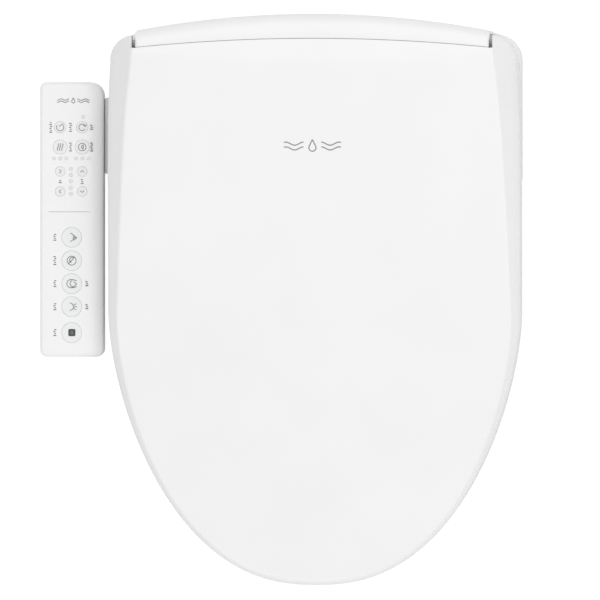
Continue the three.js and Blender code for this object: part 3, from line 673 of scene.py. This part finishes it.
# ---- rear bar ----
def bar_section(x):
    """Closed section of the bar: its back, its round top, and the hollow round the hinge line."""
    hollow_end = -0.75
    back, edge, foot = rear_arc(x), lid_rear_edge(x), BASE_TOP + 0.3
    lip = edge + 0.3
    reach = math.hypot(edge - HINGE_Y, LID_TOP - HINGE_Z) + 0.5
    ring = [(back, foot), (back, 60), (back, 90)]
    ring += [(back - BAR_ROUND_Y * (1 - math.cos(a)), BAR_TOP - BAR_ROUND_Z * (1 - math.sin(a)))
             for a in span(12, 0, QUARTER)]
    ring += [(lip + 0.9, BAR_TOP), (lip + 0.25, BAR_TOP - 0.25), (lip, BAR_TOP - 0.8)]
    start = math.asin((BAR_TOP - 2.4 - HINGE_Z) / reach)
    ring += [(HINGE_Y + reach * math.cos(a), HINGE_Z + reach * math.sin(a))
             for a in span(8, start, hollow_end)]
    floor = HINGE_Z + reach * math.sin(hollow_end)
    ring += [(back - BAR_WALL, floor - 4), (back - BAR_WALL, foot)]
    return [(x, y, z) for y, z in ring]


def drawn_in(x, shrink):
    """The bar's section near an end: above its foot it draws in from the back and the top."""
    ring = bar_section(x)
    foot = ring[0][2]
    moved = []
    for px, y, z in ring:
        if z > foot + 4:
            z = min(z, BAR_TOP - shrink)
            y = min(y, rear_arc(x) - shrink)
        moved.append((px, y, z))
    return moved


def build_bar():
    half, curve = BAR_HALF - 1.3, 3.0
    straight = half - curve
    ends = [half - curve * (1 - math.sin(a)) for a in span(8, QUARTER, 0.1)]
    rings = []
    for x in [-x for x in ends] + span(77, -half + curve, straight) + ends[::-1]:
        tuck = max(0.0, abs(x) - straight)
        rings.append(drawn_in(x, curve - math.sqrt(max(0.0, curve ** 2 - tuck ** 2))))
    make("rear_bar_cover", *skin(rings, capped=True), GLOSS, "base", ["rear_bar"], sharp=50)


# ---- body ----
SCREWS = [(172, -78), (172, 6), (118, 30), (118, -30)]
# The tub's outer wall and rim: distance drawn in, and height.
TUB_PROFILE = [(3.0, 0.0), (1.6, 0.25), (0.6, 0.9), (0.1, 2.2), (0, 4), (0, 37.6), (0.25, 38.15), (0.9, 38.4)]
# The recess for the mounting plate and the two tracks for its bolt heads, and their roofs inside.
RECESS = [
    block(-96, 96, -39, 80, -5, 3.6),
    block(-84, -56, -14, 80, -5, 9.4),
    block(56, 84, -14, 80, -5, 9.4),
]
RECESS_ROOF = [
    block(-98.5, 98.5, -41.5, 57, 1, 6.4),
    block(-86.5, -53.5, -16.5, 55, 1, 12),
    block(53.5, 86.5, -16.5, 55, 1, 12),
]
# The opening over the nozzle's hood, then the holes for the nozzle, its rack, the dryer's flap,
# the release button, the drawer and the inlet connector.
PORTS = [
    block(-75.4, 21.4, BODY_FRONT + 2.6, -55.6, -1, 8),
    block(-10.6, 10.6, -110, -90, -1, 9),
    block(-3, 3, -110, -90, -1, 12.6),
    block(-74, -45.6, -110, -95, -1, 6.6),
    block(180, 200, -12, 12, 13, 27),
    block(150, 200, -86, -54, 9.6, 32.4),
    bore(160, 18, 8.4, -5, 8, 40),
]


def body_outline(shrink):
    """Plan of the body drawn in by a distance, anticlockwise from the middle of its front."""
    toe, wide, deep = TOE - shrink, CORNER_X - shrink, CORNER_Y - shrink
    toe_x, toe_y, corner_x = BODY_HALF - TOE, BODY_FRONT + TOE, BODY_HALF - CORNER_X
    half = [(x, BODY_FRONT + shrink) for x in span(9, 0, 170)]
    half += [(toe_x + toe * math.sin(a), toe_y - toe * math.cos(a)) for a in span(10, 0, QUARTER)]
    half += [(BODY_HALF - shrink, y) for y in span(7, -80, 12)]
    half += [(corner_x + wide * math.cos(a), 20 + deep * math.sin(a)) for a in span(17, 0, 1.31)]
    half += [(x, rear_arc(x) - shrink) for x in span(21, 160, 0)]
    return half + [(-x, y) for x, y in half[-2:0:-1]]


def build_tub():
    """The lower body: a rounded tub with a thick rim, and the recesses and ports of its underside."""
    rings = [[(x, y, z) for x, y in body_outline(shrink)] for shrink, z in TUB_PROFILE]
    tub = make("base_tub", *skin(rings, capped=True), GLOSS, "base", ["base_chassis"], sharp=40)
    hollow = skin([[(x, y, z) for x, y in body_outline(TUB_WALL)] for z in (TUB_FLOOR, 60)], capped=True)
    slots = span(9, 104, 144) + span(9, -144, -104)
    vents = merged(*[block(x - 1.3, x + 1.3, -74, -50, -1, 5) for x in slots])
    wells = merged(*[bore(side * x, y, 4.6, -1, 2.2, 32) for side in (-1, 1) for x, y in SCREWS])
    combine(tub, "DIFFERENCE", hollow)
    combine(tub, "UNION", *RECESS_ROOF)
    combine(tub, "DIFFERENCE", *RECESS, *PORTS, vents, wells)
    shade(tub.data, 35)
    soften(tub, 0.4, 40)
    modifier(tub, "WEIGHTED_NORMAL", keep_sharp=True)
    bake(tub)


def build_bracket():
    """The bracket that carries the panel beside the body."""
    bracket = make("panel_bracket", *block(PANEL_R + 0.3, -189, -85.5, -15, 16, 33.5), GLOSS, "base")
    soften(bracket, 1.2, 40, segments=3)
    bake(bracket)


def screw_head(x, y, z, radius):
    """A pan head seen from below, with a cross recess."""
    sides, corners = 32, 12
    profile = [(radius, z + 1.1), (radius, z + 0.5), (radius * 0.82, z + 0.12), (radius * 0.62, z)]
    verts, faces = turned(profile, x, y, sides)
    arm, bar = radius * 0.5, radius * 0.13
    cross = [(arm, bar), (bar, bar), (bar, arm), (-bar, arm), (-bar, bar), (-arm, bar),
             (-arm, -bar), (-bar, -bar), (-bar, -arm), (bar, -arm), (bar, -bar), (arm, -bar)]
    verts += [(x + a, y + b, level) for level in (z, z + 0.7) for a, b in cross]
    rim, edge = (len(profile) - 1) * sides, len(profile) * sides
    deep = edge + corners
    for quarter in range(4):
        outside = [rim + (quarter * 8 + k) % sides for k in range(9)]
        inside = [edge + (quarter * 3 + k) % corners for k in (3, 2, 1, 0)]
        faces.append(tuple(outside + inside))
    for i in range(corners):
        j = (i + 1) % corners
        faces.append((edge + i, edge + j, deep + j, deep + i))
    faces.append(tuple(deep + i for i in range(corners)))
    faces.append(tuple(range(sides)))
    return verts, faces


def build_screws():
    for name, side in SIDES:
        heads = [screw_head(side * x, y, 1.0, 3.9) for x, y in SCREWS]
        make(f"base_screws_{name}", *merged(*heads), STEEL, "base", slot="steel", sharp=30)


def build_drawer_grip():
    """Finger ribs on the face of the deodoriser drawer."""
    profile = [(0, 14.6), (0.5, 14.7), (0.7, 15), (0.7, 27), (0.5, 27.3), (0, 27.4)]
    ribs = [turned(profile, BODY_HALF, y, 16) for y in span(5, -76, -64)]
    make("drawer_grip", *merged(*ribs), GLOSS, "drawer")


def build_release_pad():
    """The release button: a rounded pad, nearly flush with the side, with a shallow finger dish."""
    rings = []
    for x, shrink in ((182.6, 0), (190.6, 0), (190.95, 0.15), (191.1, 0.6), (190.95, 1.6), (190.6, 3.4)):
        wide, tall = 11.4 - shrink, 6.4 - shrink
        outline = rounded_rectangle(-wide, wide, -tall, tall, max(0.6, 1.8 - shrink))
        rings.append([(x, across, 20 + up) for across, up in outline])
    make("release_pad", *skin(rings, capped=True), GLOSS, "release", ["release_button"],
         "gloss_white", sharp=50)


# ---- fasteners ----
BOLT_HEAD = [(0, 3.7), (8, 3.7), (8.5, 4.2), (8.5, 6.2), (8, 7.2), (6.6, 8.1), (4, 8.38), (0, 8.4)]
BUSH = [
    (4.4, -26), (8.6, -26), (9.2, -25.4), (11.8, -20.6), (12, -19.6), (12, -17), (11.4, -16.6), (11.4, -15.8),
    (12, -15.4), (12, -11), (11.4, -10.6), (11.4, -9.8), (12, -9.4), (12, -1.2), (11.2, -0.45), (4.4, -0.45),
    (4.4, -26),
]
HAND_NUT = [
    (4.4, 0, -42), (14.6, 0.6, -42), (15.6, 1.6, -41.5), (16, 2.0, -40.6), (15.6, 1.6, -39.6),
    (13, 0.8, -38.4), (9.6, 0.3, -36.4), (9, 0.4, -35), (9, 0.4, -27.6), (8.6, 0.3, -26.6), (4.4, 0, -26.5),
]


def build_fasteners():
    """Screw-threaded bolts with domed heads, and hand nuts with scalloped rims."""
    for name, side in SIDES:
        x = side * BOLT_X
        bolt = merged(turned(BOLT_HEAD, x, 0), threaded(x, 0, -63.8, 3.8))
        make(f"bolt_{name}", *bolt, STEEL, "mount", [f"mounting_bolt_{name}"], "steel", sharp=50)
        make(f"bush_{name}", *turned(BUSH, x, 0), RUBBER, "mount", [f"rubber_bush_{name}"], "rubber_grey")
        make(f"hand_nut_{name}", *lobed(HAND_NUT, x, 0, 12), GREY, "mount", [f"wing_nut_{name}"],
             "grey_plastic", sharp=40)


# ---- solids that stay ----
# Each solid's finish, and the width in millimetres by which its edges are softened.
KEPT_SOLIDS = [
    ("nozzle_hood", GLOSS, 0.8), ("top_cover", SATIN, 1.4), ("deodorizer_drawer", GLOSS, 0.6),
    ("dryer_flap", SATIN, 0.3), ("dryer_duct", SATIN, 0.3), ("mounting_plate", SATIN, 0.6),
    ("blower_housing", DARK, 0.6), ("fan_wheel", GREY, 0.2), ("power_supply", DARK, 0.8),
    ("main_board", BOARD, 0.3), ("panel_board", BOARD, 0.3), ("water_heater", GREY, 1.2),
    ("inlet_valve", SATIN, 0.8), ("air_pump", DARK, 0.8), ("nozzle_guide", SATIN, 0.4),
    ("nozzle_motor", STEEL, 0.4), ("nozzle_pinion", GREY, 0.1), ("nozzle", STEEL, 0.3),
    ("nozzle_cap", SATIN, 0.5), ("hose_to_heater", RUBBER, 0.2), ("hose_to_nozzle", RUBBER, 0.2),
    ("inlet_connector", BRASS, 0.3), ("hinge_pin_left", STEEL, 0.3), ("hinge_pin_right", STEEL, 0.3),
    ("deodorizer_core", DARK, 0.2), ("lid_bumper_left", RUBBER, 0.6), ("lid_bumper_right", RUBBER, 0.6),
    ("panel_light_guide", LENS, 0.2),
]


def refine(node, material, width):
    """A solid that stays as it is, with its edges softened and a finish of its own."""
    piece = NODES[node]
    piece.data.materials.clear()
    piece.data.materials.append(material)
    modifier(piece, "WELD", merge_threshold=0.02 * MM)
    modifier(piece, "DECIMATE", decimate_type="DISSOLVE", angle_limit=math.radians(1.5))
    soften(piece, width, 30)
    modifier(piece, "WEIGHTED_NORMAL", keep_sharp=True)
    for polygon in piece.data.polygons:
        polygon.use_smooth = True


def build_body():
    build_bar()
    build_tub()
    build_bracket()
    build_screws()
    build_fasteners()
    build_drawer_grip()
    build_release_pad()
    for node, material, width in KEPT_SOLIDS:
        refine(node, material, width)


# ---- control panel ----
# Places are measured across from the panel's middle and along the seat, then the radius of a key.
BUTTONS = {
    "power": (-10.7, -42.6, MEDIUM), "nozzle_clean": (9.8, -42.6, MEDIUM),
    "water_temperature": (-10.7, -60.9, WIDE), "seat_temperature": (9.8, -60.9, WIDE),
    "pressure_down": (-10.7, -83.6, SMALL), "pressure_up": (9.8, -83.6, SMALL),
    "nozzle_back": (-10.7, -102.2, SMALL), "nozzle_forward": (9.8, -102.2, SMALL),
    "rear_wash": (0, -144.8, LARGE), "dry": (0, -166.5, LARGE), "front_wash": (0, -187.9, LARGE),
    "soft_wash": (0, -209.3, LARGE), "stop": (0, -233.4, LARGE),
}
LAMPS = [
    (10.9, -32.8), (-16.4, -71.5), (-10.6, -71.5), (-5, -71.5), (4.2, -71.5), (10.2, -71.5), (16, -71.5),
    (-0.7, -81.2), (-0.7, -87), (-0.7, -92.7), (-0.7, -98.8), (-0.7, -104.3),
]
# Rows of dashes where a real panel has words, each with its number of dashes.
LABELS = [
    (-15.6, -144.8, 4), (-15.6, -166.5, 5), (-15.6, -187.9, 4), (-15.6, -209.3, 4), (-15.6, -233.4, 4),
    (14.2, -187.9, 3), (14.2, -209.3, 3), (-1.0, -42.6, 5), (-1.0, -60.9, 5), (18.6, -42.6, 3),
    (18.6, -60.9, 5), (-19.4, -42.6, 6), (-10.7, -93.0, 2), (9.8, -93.0, 3),
]


def panel_limits(y):
    """Left and right edges of the panel's plan at one place along it."""
    def tuck(distance, radius):
        if distance >= radius:
            return 0.0
        return radius - math.sqrt(max(0.0, radius ** 2 - (radius - distance) ** 2))
    rear, front = PANEL_REAR - y, y - PANEL_FRONT
    return (PANEL_L + max(tuck(rear, LEFT_CORNER), tuck(front, LEFT_CORNER)),
            PANEL_R - max(tuck(rear, REAR_CORNER), tuck(front, FRONT_CORNER)))


def panel_stations():
    """Places along the panel, close together where its ends are round."""
    ends = [0, 0.12, 0.45, 1.0, 1.8, 3.0, 4.6, 6.5, 9.0, 13.0]
    return ([PANEL_FRONT + d for d in ends] + span(22, PANEL_FRONT + 18, PANEL_REAR - 18)
            + [PANEL_REAR - d for d in reversed(ends)])


def end_round(y):
    """How far the panel's top and bottom draw in near its rounded ends."""
    end = min(PANEL_REAR - y, y - PANEL_FRONT, PANEL_ROUND)
    return PANEL_ROUND - math.sqrt(max(0.0, PANEL_ROUND ** 2 - (PANEL_ROUND - end) ** 2))


def panel_ring(y, low, high, roll, wall=0.0):
    """One cross-section: flat on top, rounded at the left, rolling down on the right."""
    left, right = panel_limits(y)
    left, right = left + wall, right - wall
    top = high - end_round(y)
    ring = [(left, low), (right, low)]
    ring += [(right - roll[0] * (1 - math.cos(a)), top - roll[1] * (1 - math.sin(a)))
             for a in span(14, 0, QUARTER)]
    ring += [(left + PANEL_ROUND * (1 - math.sin(a)), top - PANEL_ROUND * (1 - math.cos(a)))
             for a in span(7, 0, QUARTER)]
    return [(x, y, z) for x, z in ring]


def panel_room(low, high, roll):
    """The hollow inside one half of the panel, a wall's thickness in from its skin."""
    within = [y for y in panel_stations() if PANEL_FRONT + PANEL_WALL < y < PANEL_REAR - PANEL_WALL]
    return skin([panel_ring(y, low, high, roll, PANEL_WALL) for y in within], capped=True)


def tub_ring(y):
    """One cross-section of the panel's lower half, rounded along both lower edges."""
    left, right = panel_limits(y)
    low = PANEL_LOW + end_round(y)
    r = PANEL_ROUND
    ring = [(right, PANEL_SPLIT), (left, PANEL_SPLIT)]
    ring += [(left + r - r * math.cos(a), low + r - r * math.sin(a)) for a in span(7, 0, QUARTER)]
    ring += [(right - r + r * math.sin(a), low + r - r * math.cos(a)) for a in span(7, 0, QUARTER)]
    return [(x, y, z) for x, z in ring]


def groove():
    """The thin groove across the panel, between its upper and lower group of buttons."""
    left, right, low, high = PANEL_L + 8, PANEL_R + 3, PANEL_TOP - 1.5, 60
    section = [(left, low), (right, low), (right, high), (left, high)]
    return skin([[(x, y, z) for x, z in section] for y in (GROOVE_Y - 0.5, GROOVE_Y + 0.5)], capped=True)


def build_panel_case():
    rings = [panel_ring(y, PANEL_SPLIT + 0.3, PANEL_TOP, (21.0, 9.0)) for y in panel_stations()]
    case = make("panel_case", *skin(rings, capped=True), PANEL, "base", ["panel_upper_case"],
                "panel_white", sharp=40)
    holes = [bore(PANEL_X + across, y, r + KEY_GAP, 45, 60, 64) for across, y, r in BUTTONS.values()]
    holes += [bore(PANEL_X + across, y, LAMP_HOLE, 49.2, 60, 32) for across, y in LAMPS]
    room = panel_room(PANEL_SPLIT - 1, PANEL_TOP - PANEL_WALL, (18.5, 4.9))
    combine(case, "DIFFERENCE", room, merged(*holes, groove()))
    shade(case.data, 35)


def build_panel_tub():
    rings = [tub_ring(y) for y in panel_stations()]
    tub = make("panel_tub", *skin(rings, capped=True), GLOSS, "base", ["panel_lower_case"], sharp=40)
    combine(tub, "DIFFERENCE", panel_room(PANEL_LOW + PANEL_WALL, PANEL_SPLIT + 4, (0.1, 0.1)))
    shade(tub.data, 40)


# ---- buttons and printed marks ----
JET = [[(0.5, -0.05), tip] for tip in ((0.12, -0.05), (0.2, 0.2), (0.2, -0.3))]

# Icon strokes: lists of points in a circle of radius one, drawn as thin printed lines.
ICONS = {
    "power": [arc(0, 0, 0.42, -220, 40), [(-0.1, 0.1), (0.35, 0.45)]],
    "nozzle_clean": [arc(0, 0, 0.38, 20, 330), [(0.38, 0.1), (0.5, 0.34)], [(0.38, 0.1), (0.12, 0.26)]],
    "water_temperature": [[(x + 0.07 * math.sin(7 * t), t) for t in span(12, -0.42, 0.42)]
                          for x in (-0.26, 0, 0.26)],
    "seat_temperature": [arc(0, 0, 0.44, 0, 360, 25), [(0.12, -0.3), (0.12, 0.3)],
                         arc(0.12, 0, 0.2, 90, 270)],
    "pressure_down": [[(-0.16, 0.34), (0.2, 0), (-0.16, -0.34)]],
    "pressure_up": [[(-0.34, -0.14), (0, 0.2), (0.34, -0.14)]],
    "nozzle_back": [[(0.16, 0.34), (-0.2, 0), (0.16, -0.34)]],
    "nozzle_forward": [[(-0.34, 0.14), (0, -0.2), (0.34, 0.14)]],
    "rear_wash": [arc(-0.18, 0.0, 0.4, -85, 85)] + JET,
    "dry": [arc(0, 0, 0.44, 0, 360, 29), arc(0.06, 0.06, 0.26, 60, 250), [(-0.3, -0.3), (0.26, 0.3)]],
    "front_wash": [arc(-0.08, 0.0, 0.4, 60, 300), arc(0.14, 0.0, 0.3, -250, -70), [(0.0, 0.42), (0.5, 0.3)],
                   [(0.0, -0.42), (0.5, -0.3)], JET[1], JET[2]],
    "soft_wash": [arc(-0.18, 0.0, 0.36, -90, 90), [(0.24, 0.0), (0.52, 0.0)], [(0.2, 0.16), (0.46, 0.3)],
                  [(0.2, -0.16), (0.46, -0.3)]],
}
ICON_SIZES = {LARGE: 9.4, WIDE: 8.0, MEDIUM: 8.0, SMALL: 5.0}


def cap_form(x, y, r):
    """A key cap: a stem, a flange under the case, and a face with a rounded edge and a shallow dish."""
    profile = [(0, 42.6), (2, 42.6), (2, 45.9), (r + 0.7, 45.9), (r + 0.7, 46.7), (r, 46.8), (r, 50.1),
               (r - 0.06, 50.2), (r - 0.25, KEY_TOP), (r - 0.7, KEY_TOP), (r * 0.6, 50.16), (r * 0.3, 50.1),
               (0, 50.1)]
    return turned(profile, x, y, 56)


def build_stop_mark(x, y, r, body):
    """The dark square of the stop key and the pale dot on it."""
    outline = rounded_rectangle(-3.3, 3.3, -3.3, 3.3, 1.0)
    square = [(x + 0.2 + px, y + py, KEY_TOP + 0.02) for px, py in outline]
    make("mark_stop_square", square, [tuple(range(len(square)))], STOP_INK, body, slot="key_stop")
    dot = stroke(arc(0.02, 0, 0.12, 0, 360, 17), 0.25, KEY_TOP + 0.05, x, y, r)
    make("mark_stop_dot", *dot, PALE_INK, body, slot="key_stop")


def build_buttons():
    for name, (across, y, r) in BUTTONS.items():
        x = PANEL_X + across
        body = f"button_{name}"
        slot = "key_stop" if name == "stop" else "key_white"
        make(f"cap_{name}", *cap_form(x, y, r), KEY, body, [body], slot, sharp=40)
        if name == "stop":
            build_stop_mark(x, y, r, body)
        else:
            marks = [stroke(line, 0.62, KEY_TOP + 0.03, x, y, ICON_SIZES[r]) for line in ICONS[name]]
            make(f"mark_{name}", *merged(*marks), INK, body, slot=slot)


def build_lamps():
    """The small windows over the panel's light guide."""
    profile = [(0, 49.25), (1.62, 49.25), (1.62, 49.8), (1.5, 49.93), (0, 49.97)]
    for i, (across, y) in enumerate(LAMPS):
        make(f"lamp_{i + 1}", *turned(profile, PANEL_X + across, y, 32), LENS, "base", slot="lens")


def build_panel_marks():
    """The dashes beside the buttons and the mark at the panel's rear."""
    dashes = []
    for across, y, count in LABELS:
        for k in range(count):
            middle = y + (k - (count - 1) / 2) * 1.8
            line = [(-1.4 + 0.7 * (k % 2), 0), (1.3 - 0.4 * (k % 3), 0)]
            dashes.append(stroke(line, 0.95, PANEL_TOP + 0.04, PANEL_X + across, middle))
    make("panel_marks", *merged(*dashes), INK, "base", slot="panel_white")
    emblem = [stroke(line, 0.7, PANEL_TOP + 0.05, PANEL_X + 1.5, -17.6) for line in emblem_strokes(30, 5)]
    make("panel_emblem", *merged(*emblem), INK, "base", slot="panel_white")


def build_panel():
    build_panel_case()
    build_panel_tub()
    build_buttons()
    build_lamps()
    build_panel_marks()


# ---- stage ----
def build_stage():
    """A pale floor under the bolts."""
    mesh = bpy.data.meshes.new("floor")
    corners = [(x * FLOOR_HALF, y * FLOOR_HALF, FLOOR_Z) for x, y in ((-1, -1), (1, -1), (1, 1), (-1, 1))]
    mesh.from_pydata([Vector(c) * MM for c in corners], [], [(0, 1, 2, 3)])
    floor = bpy.data.objects.new("floor", mesh)
    bpy.context.scene.collection.objects.link(floor)
    material, nodes, links, bsdf = shader("pale_floor")
    drift = noise(nodes, links, 3.0)
    links.new(ramp(nodes, links, drift.outputs["Fac"], 0.82, 0.86), bsdf.inputs["Base Color"])
    bsdf.inputs["Roughness"].default_value = 0.9
    white_to_camera(nodes, links, bsdf.outputs["BSDF"], "ShaderNodeEmission", "Material Output")
    mesh.materials.append(material)


def build_dome():
    """A soft white surround that is brightest overhead."""
    world = bpy.data.worlds.new("studio")
    world.use_nodes = True
    nodes, links = world.node_tree.nodes, world.node_tree.links
    dome = nodes["Background"]
    dome.inputs["Color"].default_value = (1, 1, 1, 1)
    place = nodes.new("ShaderNodeTexCoord")
    parts = nodes.new("ShaderNodeSeparateXYZ")
    fade = nodes.new("ShaderNodeMapRange")
    fade.inputs["To Min"].default_value = HORIZON
    fade.inputs["To Max"].default_value = ZENITH
    links.new(place.outputs["Generated"], parts.inputs["Vector"])
    links.new(parts.outputs["Z"], fade.inputs["Value"])
    links.new(fade.outputs["Result"], dome.inputs["Strength"])
    white_to_camera(nodes, links, dome.outputs["Background"], "ShaderNodeBackground", "World Output")
    bpy.context.scene.world = world


def area_light(name, width, depth, energy, place, source):
    """A broad light, sized and placed in metres, that shines away from its source direction."""
    data = bpy.data.lights.new(name, "AREA")
    data.shape = "RECTANGLE"
    data.size, data.size_y = width, depth
    data.energy = energy
    lamp = bpy.data.objects.new(name, data)
    lamp.location = place
    lamp.rotation_euler = Vector(source).to_track_quat("Z", "Y").to_euler()
    bpy.context.scene.collection.objects.link(lamp)


def build_light():
    """The dome, a broad light from above and a box in front, shown without a tone curve."""
    build_dome()
    area_light("overhead", 2.6, 2.6, OVERHEAD, (0.6, 0.45, 2.0), (0.6, 0.65, 2.0))
    area_light("front_box", 2.6, 0.7, FRONT_BOX, (0.0, -2.4, 0.15), (0, -1, 0))
    view = bpy.context.scene.view_settings
    view.view_transform = "Standard"
    view.look = "None"
    view.exposure = 0.0


def build_camera():
    """A long lens straight above, tilted slightly to the right."""
    data = bpy.data.cameras.new("camera")
    data.lens = LENS_LENGTH
    data.sensor_width = SENSOR
    data.clip_end = 100.0
    camera = bpy.data.objects.new("camera", data)
    tilt = math.radians(CAMERA_TILT)
    distance = VIEW_WIDTH * LENS_LENGTH / SENSOR
    camera.location = (Vector(CAMERA_TARGET) + distance * Vector((math.sin(tilt), 0, math.cos(tilt)))) * MM
    camera.rotation_euler = (0.0, tilt, 0.0)
    bpy.context.scene.collection.objects.link(camera)
    bpy.context.scene.camera = camera


build_camera()
build_light()
build_stage()
build_lid()
build_seat()
build_body()
build_panel()
